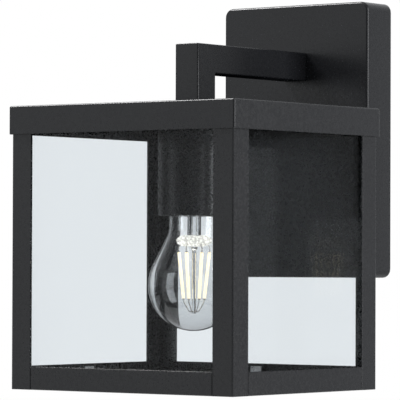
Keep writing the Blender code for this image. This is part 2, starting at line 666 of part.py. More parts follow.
def clip_solid(wall):
    """A bent clip: a rounded foot about its screw, and a leaf that stands against the pane.

    The whole leaf lies to one side of the screw, so that a turn takes it away from the pane.
    """
    leaf_back = CLIP_SHEET - CLIP_REACH
    outline = [(0, -CLIP_REACH), (CLIP_WIDTH, -CLIP_REACH), (CLIP_WIDTH, leaf_back)]
    outline.append((CLIP_WIDTH, -CLIP_WAIST))
    for angle in range(30, 181, 30):
        turn = math.radians(angle)
        outline.append((CLIP_FOOT * math.cos(turn), CLIP_FOOT * math.sin(turn)))
    outline.append((0, leaf_back))
    count = len(outline)
    last = count - 1
    points = []
    for height in (0, CLIP_SHEET):
        points += [on_wall(wall, u, CLIP_PIVOT + depth, CLIP_BOTTOM + height) for u, depth in outline]
    for u, depth in (outline[0], outline[1], outline[2], outline[last]):
        points.append(on_wall(wall, u, CLIP_PIVOT + depth, CLIP_BOTTOM + CLIP_HEIGHT))
    outer_left, outer_right, inner_right, inner_left = range(2 * count, 2 * count + 4)
    faces = [tuple(range(count)), tuple(range(count + 2, 2 * count))]
    for corner in range(2, last):
        faces.append((corner, corner + 1, count + corner + 1, count + corner))
    faces += [
        (0, 1, outer_right, outer_left),
        (1, 2, count + 2, inner_right, outer_right),
        (last, 0, outer_left, inner_left, count + last),
        (count + 2, count + last, inner_left, inner_right),
        (outer_left, outer_right, inner_right, inner_left),
    ]
    return points, faces


def make_clips(materials):
    for wall in WALLS:
        pivot = on_wall(wall, 0, CLIP_PIVOT, CLIP_BOTTOM)
        points, faces = clip_solid(wall)
        clip = add_mesh(f"pane_clip_{wall}", points, faces, materials["zinc"], origin=pivot)
        drill(clip, f"clip_bore_{wall}_cutter", pivot, (0, 0, 1), CLIP_SCREW_RADIUS + GAP, 2 * CLIP_SHEET, 16)

        head_foot = CLIP_BOTTOM + CLIP_SHEET + GAP
        head_top = head_foot + CLIP_HEAD_HEIGHT
        screw_end = CAGE_BOTTOM + GAP
        profile = ((0, screw_end), (CLIP_SCREW_RADIUS, screw_end), (CLIP_SCREW_RADIUS, head_foot),
                   (CLIP_HEAD_RADIUS, head_foot), (CLIP_HEAD_RADIUS, head_top - CLIP_HEAD_EDGE),
                   (CLIP_HEAD_RADIUS - CLIP_HEAD_EDGE, head_top), (SCREW_RECESS_RADIUS, head_top),
                   (0, head_top - SCREW_RECESS_DEPTH))
        turned(f"clip_screw_{wall}", profile, materials["zinc"], (pivot.x, pivot.y, 0), segments=16)


# ---------------------------------------------------------------- socket and wiring

def make_socket(materials):
    centre = (0, CENTRE_Y, 0)
    hole = NIPPLE_RADIUS + GAP
    profile = ((hole, CUP_TOP), (CUP_RADIUS - CUP_EDGE, CUP_TOP), (CUP_RADIUS, CUP_TOP - CUP_EDGE),
               (CUP_RADIUS, CUP_RIM + CUP_EDGE), (CUP_RADIUS - CUP_EDGE, CUP_RIM),
               (CUP_RADIUS - CUP_WALL, CUP_RIM),
               (CUP_RADIUS - CUP_WALL, CUP_TOP - CUP_WALL), (hole, CUP_TOP - CUP_WALL))
    turned("socket_cup", profile, materials["black"], centre, segments=40)

    add_nut("cup_nut", centre, (0, 0, 1), NUT_BOTTOM, NUT_HEIGHT, NUT_FLATS, NIPPLE_RADIUS, materials["zinc"])

    profile = ((0, FLOOR_TOP), (SOCKET_CHAMBER_RADIUS, FLOOR_TOP),
               (SOCKET_CHAMBER_RADIUS, CHAMBER_TOP - SOCKET_INSIDE_STEP),
               (hole, SOCKET_NECK_FOOT - SOCKET_INSIDE_STEP), (hole, SOCKET_TOP),
               (SOCKET_NECK_RADIUS, SOCKET_TOP),
               (SOCKET_NECK_RADIUS, SOCKET_NECK_FOOT), (SOCKET_RADIUS, CHAMBER_TOP),
               (SOCKET_RADIUS, SOCKET_BOTTOM), (SOCKET_CAVITY_RADIUS, SOCKET_BOTTOM),
               (SOCKET_CAVITY_RADIUS, FLOOR_UNDER), (0, FLOOR_UNDER))
    body = turned("socket_body", profile, materials["porcelain"], centre, segments=32)
    for name, x in (("live", LIVE_HOLE), ("neutral", NEUTRAL_HOLE)):
        middle = (x, CENTRE_Y, (FLOOR_TOP + FLOOR_UNDER) / 2)
        drill(body, f"{name}_hole_cutter", middle, (0, 0, 1), WIRE_RADIUS + GAP, SOCKET_FLOOR, 12)

    lip_under = CONTACT_TOP - CONTACT_SHEET
    waves = thread_profile(THREAD_RADIUS + THREAD_PLAY)
    shell_bottom = SOCKET_BOTTOM + SHELL_SHORT
    profile = [(SHELL_LIP_BORE, lip_under), (SHELL_LIP_BORE, CONTACT_TOP), (SHELL_OUTER, CONTACT_TOP),
               (SHELL_OUTER, shell_bottom), (waves[-1][0], shell_bottom)]
    profile += reversed(waves)
    profile.append((waves[0][0], lip_under))
    turned("socket_shell", profile, materials["brass"], centre, segments=24)

    tongue_top = TONGUE_UNDER + CONTACT_SHEET
    upper = [(CONTACT_ANCHOR, CONTACT_TOP), (CONTACT_BEND, CONTACT_TOP),
             (CONTACT_FLAT, tongue_top), (CONTACT_END, tongue_top)]
    outline = upper + [(x, z - CONTACT_SHEET) for x, z in reversed(upper)]
    loops = [[(x, CENTRE_Y + y, z) for x, z in outline] for y in (-CONTACT_WIDTH / 2, CONTACT_WIDTH / 2)]
    loft("socket_contact", loops, materials["brass"])


def thread_profile(mean):
    """The rounded crests and roots of the screw thread, as rings of one pitch each, from the top down."""
    steps = 4
    waves = []
    for step in range(steps * THREAD_TURNS + 1):
        turn = step / steps
        radius = mean + THREAD_DEPTH / 2 * math.cos(2 * math.pi * turn)
        waves.append((radius, THREAD_TOP - THREAD_PITCH * turn))
    return waves


def make_wires(materials):
    for name, side, hole_x, colour in (("live", -1, LIVE_HOLE, "black_wire"),
                                       ("neutral", 1, NEUTRAL_HOLE, "white_wire")):
        close = side * WIRE_OFFSET
        chamber_foot = FLOOR_TOP + WIRE_STRAIGHT
        stops = [(hole_x, CENTRE_Y, FLOOR_UNDER), (hole_x, CENTRE_Y, chamber_foot)]
        for step in range(1, 6):
            # An even S-bend from the hole in the floor to the wire's place in the nipple.
            share = 0.5 + 0.5 * math.cos(math.pi * step / 5)
            height = chamber_foot + (SOCKET_NECK_FOOT - chamber_foot) * step / 5
            stops.append((close + (hole_x - close) * share, CENTRE_Y, height))
        stops += [
            (close, CENTRE_Y, CAP_TOP),
            (close, CENTRE_Y, INSERT_TOP + NIPPLE_STAND + WIRE_STRAIGHT),
            (close, CENTRE_Y + ARC_MIDDLE * WIRE_BEND, ARM_LEVEL - ARC_MIDDLE * WIRE_BEND),
            (close, CENTRE_Y + 1.5 * WIRE_BEND, ARM_LEVEL),
            (close, CENTRE_Y / 2, ARM_LEVEL),
            (close, -PLATE_DEPTH - WIRE_BEND, ARM_LEVEL),
            (close, -PLATE_DEPTH, ARM_LEVEL),
            # Inside the plate each wire bends aside and down to its nut.
            (1.4 * close, PLATE_INSIDE_Y + WIRE_STRAIGHT, ARM_LEVEL),
            (0.4 * side * WIRE_END_X, WIRE_END_Y - WIRE_BEND + 1, ARM_LEVEL - 2),
            (0.9 * side * WIRE_END_X, WIRE_END_Y, ARM_LEVEL - 0.4 * WIRE_DROP),
            (side * WIRE_END_X, WIRE_END_Y, WIRE_END_Z),
        ]
        add_wire(f"{name}_wire", stops, WIRE_RADIUS, materials[colour])
        depth = WIRE_NUT_BORE_DEPTH
        edge = WIRE_NUT_EDGE
        profile = ((0, -depth), (WIRE_NUT_BORE, -depth), (WIRE_NUT_BORE, 0), (WIRE_NUT_MOUTH - edge / 2, 0),
                   (WIRE_NUT_MOUTH, -edge / 2), (WIRE_NUT_MOUTH, -WIRE_NUT_SKIRT),
                   (WIRE_NUT_TIP, edge - WIRE_NUT_LENGTH), (WIRE_NUT_TIP - edge, -WIRE_NUT_LENGTH),
                   (0, -WIRE_NUT_LENGTH))
        centre = (side * WIRE_END_X, WIRE_END_Y, WIRE_END_Z + depth - GAP)
        turned(f"wire_nut_{name}", profile, materials["nut_plastic"], centre, segments=12)


# ---------------------------------------------------------------- the bulb

def bulb_profile(offset):
    """The envelope's outline from its lowest point up to the base, moved inwards by offset."""
    slope = math.radians(BULB_SLOPE)
    outline = []
    for step in range(10):
        angle = math.radians(-90 + (90 + BULB_SLOPE) * step / 9)
        outline.append(((BULB_RADIUS - offset) * math.cos(angle),
                        BULB_CENTRE + (BULB_RADIUS - offset) * math.sin(angle)))
    outline[0] = (0, BULB_CENTRE - BULB_RADIUS + offset)
    # The fillet's centre lies outside the neck; the flank is tangent to it and to the sphere.
    fillet_x = BULB_NECK + BULB_FILLET
    fillet_z = BULB_CENTRE + ((BULB_RADIUS + BULB_FILLET) - fillet_x * math.cos(slope)) / math.sin(slope)
    for step in range(4):
        angle = slope * (1 - step / 3)
        reach = BULB_FILLET + offset
        outline.append((fillet_x - reach * math.cos(angle), fillet_z - reach * math.sin(angle)))
    collar_top = BASE_BOTTOM - GAP
    outline.append((BULB_NECK - offset, collar_top - NECK_SHOULDER))
    outline.append((BULB_COLLAR + BULB_WALL - offset, collar_top - offset))
    outline.append((BULB_COLLAR - offset, collar_top - offset))
    outline.append((BULB_COLLAR - offset, BASE_BOTTOM + NECK_IN_BASE))
    return outline


def make_hub(materials, origin):
    """The spider on the rod's end: a ring with one arm up to each filament's foot."""
    plan = []
    for arm in range(FILAMENTS):
        turn = Matrix.Rotation(math.radians(FILAMENT_TURN + 360 * arm / FILAMENTS), 3, "Z")
        for side in (-1, 1):
            y = side * HUB_ARM / 2
            root = math.sqrt(HUB_RADIUS ** 2 - y ** 2)
            bore = math.sqrt((ROD_RADIUS + GAP) ** 2 - y ** 2)
            tip = FILAMENT_FOOT + HUB_ARM / 2
            plan.append([turn @ Vector((x, y, rise)) for x, rise in ((bore, 0), (root, 0), (tip, HUB_DISH))])
    layer = 3 * len(plan)
    points = []
    for base in (HUB_BOTTOM, HUB_BOTTOM + HUB_SHEET):
        points += [point + Vector((0, CENTRE_Y, base)) for column in plan for point in column]
    faces = []
    for index in range(len(plan)):
        here = 3 * index
        there = 3 * ((index + 1) % len(plan))
        sheets = [(here, there, there + 1, here + 1)]
        rims = [(here, there)]
        if index % 2 == 0:
            sheets.append((here + 1, there + 1, there + 2, here + 2))
            rims += [(here + 1, here + 2), (here + 2, there + 2), (there + 2, there + 1)]
        else:
            rims.append((here + 1, there + 1))
        for sheet in sheets:
            faces += [sheet, tuple(corner + layer for corner in sheet)]
        faces += [(start, end, end + layer, start + layer) for start, end in rims]
    add_mesh("filament_hub", points, faces, materials["nickel"], origin=origin, smooth=False)


def make_bulb(materials):
    axis = (0, CENTRE_Y, 0)
    origin = (0, CENTRE_Y, BULB_TIP)
    outside = bulb_profile(0)
    inside = bulb_profile(BULB_WALL)
    turned("bulb_glass", outside + inside[::-1], materials["glass"], axis, segments=28, origin=origin)

    waves = thread_profile(THREAD_RADIUS)
    rim = THREAD_RADIUS + THREAD_DEPTH / 2 + 0.1
    inner = THREAD_RADIUS - THREAD_DEPTH / 2 - BASE_SHEET
    profile = [(BASE_CONE_RADIUS, BASE_CONE_TOP), *waves, (rim, waves[-1][1] - BASE_SHEET),
               (rim, BASE_BOTTOM), (inner, BASE_BOTTOM), (inner, THREAD_TOP + BASE_SHEET / 2),
               (BASE_CONE_RADIUS - 1.5 * BASE_SHEET, BASE_CONE_TOP - BASE_SHEET)]
    turned("bulb_base", profile, materials["nickel"], axis, segments=24, origin=origin)

    lower = BASE_CONE_TOP + GAP
    upper = BULB_TIP - BUTTON_HEIGHT - GAP
    profile = ((0, lower), (BASE_CONE_RADIUS, lower),
               (BASE_CONE_RADIUS - INSULATOR_EDGE, lower + INSULATOR_EDGE),
               (BUTTON_RADIUS + INSULATOR_EDGE, upper), (0, upper))
    turned("bulb_insulator", profile, materials["dark_glass"], axis, segments=20, origin=origin)
    profile = ((0, BULB_TIP - BUTTON_HEIGHT), (BUTTON_RADIUS, BULB_TIP - BUTTON_HEIGHT),
               (BUTTON_RADIUS * 0.6, BULB_TIP - 0.15 * BUTTON_HEIGHT), (0, BULB_TIP))
    turned("bulb_contact", profile, materials["nickel"], axis, segments=16, origin=origin)

    flare_top = BASE_BOTTOM + STEM_IN_BASE
    flare = BULB_COLLAR - BULB_WALL - GAP
    crown_top = CROWN_BOTTOM + CROWN_HEIGHT
    rod_end = HUB_BOTTOM - ROD_BELOW_HUB
    profile = ((0, flare_top), (flare, flare_top), (flare, flare_top - STEM_FLARE_RIM),
               (STEM_RADIUS + STEM_FLARE_WIDER, flare_top - STEM_FLARE / 2),
               (STEM_RADIUS, flare_top - STEM_FLARE), (STEM_RADIUS, crown_top + 1), (CROWN_RADIUS, crown_top),
               (CROWN_RADIUS, CROWN_BOTTOM), (STEM_RADIUS, CROWN_BOTTOM),
               (ROD_RADIUS, CROWN_BOTTOM - CROWN_TAPER), (ROD_RADIUS, rod_end), (0, rod_end))
    turned("bulb_stem", profile, materials["glass"], axis, segments=20, origin=origin)

    make_hub(materials, origin)
    for index in range(FILAMENTS):
        turn = math.radians(FILAMENT_TURN + 360 * index / FILAMENTS)
        spoke = Vector((math.cos(turn), math.sin(turn), 0))
        foot = FILAMENT_FOOT * spoke + Vector((0, CENTRE_Y, FILAMENT_FOOT_Z))
        top = FILAMENT_TOP * spoke + Vector((0, CENTRE_Y, FILAMENT_TOP_Z))
        # The slanted pin's ends are kept clear of the hub and the crown by its own radius.
        length = (top - foot).length - 2 * FILAMENT_PIN
        start = foot + (top - foot).normalized() * FILAMENT_PIN
        stick_top = length - FILAMENT_PIN_TOP
        profile = ((0, 0), (FILAMENT_PIN, 0), (FILAMENT_PIN, FILAMENT_PIN_FOOT),
                   (FILAMENT_RADIUS, FILAMENT_PIN_FOOT), (FILAMENT_RADIUS, stick_top),
                   (FILAMENT_PIN, stick_top), (FILAMENT_PIN, length), (0, length))
        turned(f"filament_{index + 1}", profile, materials["phosphor"], start, top - foot, 10, origin=origin)


def main():
    clear_scene()
    materials = make_materials()
    make_wall_plate(materials)
    make_bracket(materials)
    make_plate_screws(materials)
    make_grounding(materials)
    make_arm(materials)
    make_cap(materials)
    make_posts(materials)
    make_rails(materials)
    make_panes(materials)
    make_clips(materials)
    make_socket(materials)
    make_wires(materials)
    make_bulb(materials)


main()
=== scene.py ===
"""Looks of the outdoor wall lantern: materials, fine pieces, studio and camera.

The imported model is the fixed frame. Lengths are in metres, and profiles are (radius, height).
"""

import math

import bmesh
import bpy
from mathutils import Matrix, Vector


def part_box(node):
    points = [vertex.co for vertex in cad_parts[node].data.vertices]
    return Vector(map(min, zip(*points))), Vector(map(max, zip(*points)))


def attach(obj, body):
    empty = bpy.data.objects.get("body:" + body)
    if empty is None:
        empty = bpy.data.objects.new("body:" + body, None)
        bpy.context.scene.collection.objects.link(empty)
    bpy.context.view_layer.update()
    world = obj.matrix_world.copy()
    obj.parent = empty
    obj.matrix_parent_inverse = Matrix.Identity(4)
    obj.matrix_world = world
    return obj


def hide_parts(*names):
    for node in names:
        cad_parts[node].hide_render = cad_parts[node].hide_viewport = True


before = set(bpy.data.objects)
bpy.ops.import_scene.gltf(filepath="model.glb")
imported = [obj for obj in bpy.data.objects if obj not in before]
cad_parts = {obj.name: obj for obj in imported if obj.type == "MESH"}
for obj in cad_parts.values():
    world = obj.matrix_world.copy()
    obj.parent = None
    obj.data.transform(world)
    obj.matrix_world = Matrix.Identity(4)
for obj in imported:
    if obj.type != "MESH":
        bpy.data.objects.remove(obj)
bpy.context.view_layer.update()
MM = 0.001
WALLS = ("front", "right", "rear", "left")
CORNERS = ("front_left", "front_right", "rear_left", "rear_right")
cup_low, cup_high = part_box("socket_cup")
AXIS_X = (cup_low.x + cup_high.x) / 2
AXIS_Y = (cup_low.y + cup_high.y) / 2


# ---------------------------------------------------------------- materials

class Nodes:
    """Short names for the nodes of one material."""

    def __init__(self, name):
        self.material = bpy.data.materials.new(name)
        self.material.use_nodes = True
        self.tree = self.material.node_tree
        self.shader = self.tree.nodes["Principled BSDF"]
        self.place = self.tree.nodes.new("ShaderNodeTexCoord").outputs["Object"]

    def link(self, source, target):
        self.tree.links.new(source, target)

    def noise(self, scale, detail=3.0, roughness=0.5, stretch=None):
        place = self.place
        if stretch:
            mapping = self.tree.nodes.new("ShaderNodeMapping")
            mapping.inputs["Scale"].default_value = stretch
            self.link(place, mapping.inputs["Vector"])
            place = mapping.outputs["Vector"]
        noise = self.tree.nodes.new("ShaderNodeTexNoise")
        noise.inputs["Scale"].default_value = scale
        noise.inputs["Detail"].default_value = detail
        noise.inputs["Roughness"].default_value = roughness
        self.link(place, noise.inputs["Vector"])
        return noise.outputs["Fac"]

    def cells(self, scale):
        cells = self.tree.nodes.new("ShaderNodeTexVoronoi")
        cells.inputs["Scale"].default_value = scale
        self.link(self.place, cells.inputs["Vector"])
        return cells.outputs["Distance"]

    def spread(self, value, low, high, start=0.3, end=0.7):
        spread = self.tree.nodes.new("ShaderNodeMapRange")
        spread.inputs["From Min"].default_value = start
        spread.inputs["From Max"].default_value = end
        spread.inputs["To Min"].default_value = low
        spread.inputs["To Max"].default_value = high
        self.link(value, spread.inputs["Value"])
        return spread.outputs["Result"]

    def ramp(self, value, *stops):
        ramp = self.tree.nodes.new("ShaderNodeValToRGB")
        elements = ramp.color_ramp.elements
        while len(elements) < len(stops):
            elements.new(0.5)
        for element, (place, colour) in zip(elements, stops):
            element.position = place
            element.color = (*colour, 1.0)
        self.link(value, ramp.inputs["Fac"])
        return ramp.outputs["Color"]

    def bump(self, height, strength, distance, under=None):
        bump = self.tree.nodes.new("ShaderNodeBump")
        bump.inputs["Strength"].default_value = strength
        bump.inputs["Distance"].default_value = distance
        self.link(height, bump.inputs["Height"])
        if under:
            self.link(under, bump.inputs["Normal"])
        return bump.outputs["Normal"]

    def set(self, **values):
        for name, value in values.items():
            socket = self.shader.inputs[name.replace("_", " ")]
            socket.default_value = (*value, 1.0) if isinstance(value, tuple) else value

    def feed(self, **sources):
        for name, source in sources.items():
            self.link(source, self.shader.inputs[name.replace("_", " ")])


def powder_coat():
    n = Nodes("black_powder_coat")
    n.set(IOR=1.5)
    # Seen edge-on the rough coat loses its sheen instead of gaining it.
    slant = n.tree.nodes.new("ShaderNodeLayerWeight").outputs["Facing"]
    black = (0.3, (0.0095, 0.0100, 0.0118))
    lighter_black = (0.7, (0.0115, 0.0121, 0.0141))
    n.feed(Base_Color=n.ramp(n.noise(14, 4), black, lighter_black),
           Specular_IOR_Level=n.spread(slant, 0.5, 0.0, 0.72, 0.90),
           Roughness=n.spread(n.noise(420, 3), 0.24, 0.30),
           Normal=n.bump(n.noise(1600, 2), 0.10, 0.00005))
    return n.material


def pane_glass():
    n = Nodes("pane_glass")
    n.set(Transmission_Weight=1.0, IOR=1.2)
    n.feed(Base_Color=n.ramp(n.noise(6, 2), (0.3, (0.868, 0.885, 0.893)), (0.7, (0.878, 0.894, 0.901))),
           Roughness=n.spread(n.noise(30, 4), 0.0, 0.006))
    return n.material


def lamp_glass():
    n = Nodes("lamp_glass")
    n.set(Transmission_Weight=1.0, IOR=1.5)
    low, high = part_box("bulb_glass")
    # The glass's tint grows darker towards the bottom of the bulb: painted shade.
    axes = n.tree.nodes.new("ShaderNodeSeparateXYZ")
    n.link(n.place, axes.inputs["Vector"])
    height = n.spread(axes.outputs["Z"], 0.0, 1.0, low.z, high.z)
    n.feed(Base_Color=n.ramp(height, (0.0, (0.80, 0.815, 0.825)), (0.55, (0.965, 0.970, 0.975))),
           Roughness=n.spread(n.noise(60, 3), 0.0, 0.008),
           Normal=n.bump(n.noise(90, 2), 0.06, 0.0003))
    return n.material


def press_glass_painted_glow():
    n = Nodes("press_glass_painted_glow")
    # The crown is no lamp: its emission paints a glow of scattered filament light, and the speckled emission
    # colour paints glitter.
    n.set(Transmission_Weight=0.85, IOR=1.45, Emission_Strength=0.62)
    n.feed(Base_Color=n.ramp(n.noise(200, 2), (0.3, (0.95, 0.95, 0.92)), (0.7, (0.99, 0.99, 0.98))),
           Emission_Color=n.ramp(n.cells(520), (0.30, (1.0, 0.99, 0.93)), (0.62, (0.10, 0.10, 0.09))),
           Roughness=n.spread(n.noise(300, 3), 0.0, 0.02),
           Normal=n.bump(n.cells(700), 1.0, 0.0020))
    return n.material


def plated(name, dark, light, low, high, scale=700, stretch=(1, 1, 1), bump=0.06):
    n = Nodes(name)
    n.set(Metallic=1.0)
    n.feed(Base_Color=n.ramp(n.noise(55, 3), (0.3, dark), (0.7, light)),
           Roughness=n.spread(n.noise(scale, 4, stretch=stretch), low, high))
    n.feed(Normal=n.bump(n.noise(scale, 3, stretch=stretch), bump, 0.00005))
    return n.material


def plastic(name, dark, light, low, high, scale=900, bump=0.08):
    n = Nodes(name)
    n.feed(Base_Color=n.ramp(n.noise(70, 3), (0.3, dark), (0.7, light)),
           Roughness=n.spread(n.noise(scale, 2), low, high))
    n.feed(Normal=n.bump(n.noise(scale, 2), bump, 0.00008))
    return n.material


def phosphor():
    n = Nodes("lit_phosphor")
    n.set(Base_Color=(0.95, 0.80, 0.45), Roughness=0.6, Emission_Strength=1.25)
    n.feed(Emission_Color=n.ramp(n.cells(900), (0.0, (1.0, 0.96, 0.84)), (0.8, (1.0, 0.89, 0.68))))
    return n.material


def floor_paint():
    n = Nodes("floor_paint")
    n.feed(Base_Color=n.ramp(n.noise(3, 3), (0.3, (0.86, 0.86, 0.86)), (0.7, (0.89, 0.89, 0.885))),
           Roughness=n.spread(n.noise(40, 3), 0.6, 0.75))
    return n.material


BLACK = powder_coat()
PANE = pane_glass()
LAMP = lamp_glass()
PRESS = press_glass_painted_glow()
ZINC = plated("zinc_plate", (0.50, 0.51, 0.53), (0.66, 0.67, 0.68), 0.24, 0.42)
DARK_ZINC = plated("black_zinc", (0.05, 0.05, 0.055), (0.09, 0.09, 0.095), 0.35, 0.5)
BRASS = plated("brass", (0.62, 0.43, 0.17), (0.78, 0.58, 0.27), 0.22, 0.38)
NICKEL = plated("nickel", (0.58, 0.57, 0.54), (0.72, 0.71, 0.68), 0.16, 0.30)
GREEN_METAL = plated("green_plate", (0.03, 0.20, 0.08), (0.07, 0.32, 0.14), 0.30, 0.45)
PORCELAIN = plastic("porcelain", (0.76, 0.75, 0.71), (0.84, 0.83, 0.79), 0.12, 0.28, 300, 0.05)
BLACK_WIRE = plastic("black_insulation", (0.012, 0.012, 0.013), (0.022, 0.022, 0.023), 0.40, 0.55)
WHITE_WIRE = plastic("white_insulation", (0.70, 0.70, 0.67), (0.79, 0.79, 0.76), 0.40, 0.55)
GREEN_WIRE = plastic("green_insulation", (0.02, 0.17, 0.06), (0.04, 0.25, 0.09), 0.40, 0.55)
ORANGE = plastic("orange_plastic", (0.72, 0.20, 0.03), (0.84, 0.28, 0.05), 0.35, 0.50)
VITRITE = plastic("vitrite", (0.012, 0.012, 0.022), (0.03, 0.03, 0.05), 0.08, 0.16, 300, 0.04)
PHOSPHOR = phosphor()


# ---------------------------------------------------------------- making pieces

def finish_piece(obj, body, nodes):
    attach(obj, body)
    if nodes:
        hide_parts(*nodes)
    return obj


def smooth(mesh, degrees=40):
    mesh.shade_smooth()
    mesh.set_sharp_from_angle(angle=math.radians(degrees))


def new_object(name, work, material, degrees=40):
    bmesh.ops.recalc_face_normals(work, faces=work.faces)
    mesh = bpy.data.meshes.new(name)
    work.to_mesh(mesh)
    work.free()
    mesh.materials.append(material)
    smooth(mesh, degrees)
    obj = bpy.data.objects.new(name, mesh)
    bpy.context.scene.collection.objects.link(obj)
    return obj


def apply_modifiers(obj):
    graph = bpy.context.evaluated_depsgraph_get()
    mesh = bpy.data.meshes.new_from_object(obj.evaluated_get(graph), depsgraph=graph)
    obj.modifiers.clear()
    obj.data = mesh
    return obj


def refined(node, material, body="lantern", width=0.3, segments=3):
    """The CAD node's own shape with its hard edges rolled over a little, as coated metal has them."""
    work = bmesh.new()
    work.from_mesh(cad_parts[node].data)
    bmesh.ops.remove_doubles(work, verts=work.verts, dist=1e-6)
    bmesh.ops.dissolve_limit(work, angle_limit=math.radians(0.6), verts=work.verts, edges=work.edges)
    obj = new_object(f"{node}_fine", work, material)
    bevel = obj.modifiers.new("edges", "BEVEL")
    bevel.width = width * MM
    bevel.segments = segments
    bevel.limit_method = "ANGLE"
    bevel.angle_limit = math.radians(50)
    normals = obj.modifiers.new("normals", "WEIGHTED_NORMAL")
    normals.keep_sharp = True
    apply_modifiers(obj)
    return finish_piece(obj, body, [node])


def filleted(points, radius, steps=4):
    """The profile with each of its corners rounded, where there is room."""
    rounded = []
    for index, point in enumerate(points):
        here = Vector(point)
        if here.x == 0:
            rounded.append(here)
            continue
        before = Vector(points[index - 1])
        after = Vector(points[(index + 1) % len(points)])
        back = before - here
        ahead = after - here
        if back.length == 0 or ahead.length == 0 or back.angle(ahead) > math.radians(160):
            rounded.append(here)
            continue
        cut = min(radius / math.tan(back.angle(ahead) / 2), 0.45 * back.length, 0.45 * ahead.length)
        start = here + back.normalized() * cut
        end = here + ahead.normalized() * cut
        for step in range(steps + 1):
            t = step / steps
            rounded.append((1 - t) ** 2 * start + 2 * t * (1 - t) * here + t * t * end)
    return rounded


def lathe(name, profile, material, segments=72, turn=None, wobble=None, degrees=40):
    """A turned piece on the lamp's axis, or where turn puts it. wobble(radius, height, angle) may bend it."""
    if turn is None:
        turn = Matrix.Translation((AXIS_X, AXIS_Y, 0))
    work = bmesh.new()
    rings = []
    for radius, height in profile:
        ring = []
        for step in range(1 if radius == 0 else segments):
            angle = 2 * math.pi * step / segments
            r, z = wobble(radius, height, angle) if wobble else (radius, height)
            ring.append(work.verts.new(turn @ Vector((r * math.cos(angle), r * math.sin(angle), z))))
        rings.append(ring)
    solid = len(rings[0]) == 1
    for row in range(len(rings) - 1 if solid else len(rings)):
        here = rings[row]
        there = rings[(row + 1) % len(rings)]
        for step in range(segments):
            after = (step + 1) % segments
            corners = [here[step % len(here)], here[after % len(here)],
                       there[after % len(there)], there[step % len(there)]]
            work.faces.new([v for place, v in enumerate(corners) if v not in corners[:place]])
    return new_object(name, work, material, degrees)


def points_along(start, end):
    """The turn that lays a lathe's own height axis from start towards end."""
    way = Vector(end) - Vector(start)
    spin = Vector((0, 0, 1)).rotation_difference(way).to_matrix().to_4x4()
    return Matrix.Translation(start) @ spin


def tube(name, stops, radius, material, body, nodes=(), sides=3, spacing=0.0016, radii=None):
    """A wire: one smooth curve through its stops, turned into a mesh with closed ends."""
    route = smooth_route([Vector(stop) for stop in stops], spacing)
    curve = bpy.data.curves.new(name, "CURVE")
    curve.dimensions = "3D"
    curve.bevel_depth = radius
    curve.bevel_resolution = sides
    curve.use_fill_caps = True
    spline = curve.splines.new("POLY")
    spline.points.add(len(route) - 1)
    for index, (point, place) in enumerate(zip(spline.points, route)):
        point.co = (*place, 1.0)
        if radii:
            point.radius = radii(index / (len(route) - 1))
    draft = bpy.data.objects.new(f"{name}_draft", curve)
    bpy.context.scene.collection.objects.link(draft)
    graph = bpy.context.evaluated_depsgraph_get()
    mesh = bpy.data.meshes.new_from_object(draft.evaluated_get(graph), depsgraph=graph)
    bpy.data.objects.remove(draft)
    mesh.materials.clear()
    mesh.materials.append(material)
    smooth(mesh, 50)
    obj = bpy.data.objects.new(name, mesh)
    bpy.context.scene.collection.objects.link(obj)
    return finish_piece(obj, body, nodes)


def smooth_route(stops, spacing):
    padded = [2 * stops[0] - stops[1], *stops, 2 * stops[-1] - stops[-2]]
    route = []
    for first, second, third, fourth in zip(padded, padded[1:], padded[2:], padded[3:]):
        count = max(1, round((third - second).length / spacing))
        for step in range(count):
            t = step / count
            route.append(0.5 * (2 * second + (third - first) * t
                                + (2 * first - 5 * second + 4 * third - fourth) * t ** 2
                                + (3 * second - first - 3 * third + fourth) * t ** 3))
    route.append(stops[-1])
    return route


def carve(obj, cutters):
    """Cut the cutters' shapes out of obj for good."""
    for index, cutter in enumerate(cutters):
        modifier = obj.modifiers.new(f"cut_{index}", "BOOLEAN")
        modifier.operation = "DIFFERENCE"
        modifier.solver = "EXACT"
        modifier.object = cutter
    apply_modifiers(obj)
    for cutter in cutters:
        bpy.data.objects.remove(cutter)
    smooth(obj.data)
    return obj


def block(name, half, turn):
    work = bmesh.new()
    bmesh.ops.create_cube(work, size=2.0, matrix=turn @ Matrix.Diagonal((*half, 1.0)))
    return new_object(name, work, BLACK)


def centre_of(node):
    low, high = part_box(node)
    return (low + high) / 2


# ---------------------------------------------------------------- sheet and angle

def make_metalwork():
    for corner in CORNERS:
        refined(f"post_{corner}", BLACK, width=0.25)
    for wall in WALLS:
        refined(f"bottom_rail_{wall}", BLACK, width=0.25)
        refined(f"top_channel_{wall}", BLACK, width=0.25, segments=2)
        refined(f"pane_clip_{wall}", ZINC, f"clip_{wall}", width=0.12, segments=2)
    refined("cap", BLACK, width=0.3)
    refined("wall_plate", BLACK, width=0.3)
    refined("arm", BLACK, width=0.3)
    refined("mounting_bracket", ZINC, width=0.25)
    refined("arm_insert", ZINC, width=0.3, segments=2)
    refined("top_nipple", ZINC, width=0.2, segments=2)
    refined("cup_nut", ZINC, width=0.4, segments=2)
    refined("plate_ground_nut", ZINC, width=0.3, segments=2)
    refined("bracket_ground_screw", GREEN_METAL, width=0.3, segments=2)
    refined("socket_contact", BRASS, width=0.1, segments=2)
    for wall in WALLS:
        paint(f"pane_{wall}", PANE)


def paint(node, material):
    """Give a CAD node that is kept as it is its finer material."""
    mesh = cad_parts[node].data
    mesh.materials.clear()
    mesh.materials.append(material)


def cross_cutters(name, top, turn, width, depth):
    """Two crossed bars for a driver's recess, sunk to depth below top on the turn's own axis."""
    bars = []
    for index in range(2):
        spin = Matrix.Rotation(math.radians(90 * index), 4, "Z")
        place = turn @ Matrix.Translation((0, 0, top)) @ spin
        bars.append(block(f"{name}_bar_{index}", (width, width * 0.24, depth), place))
    return bars


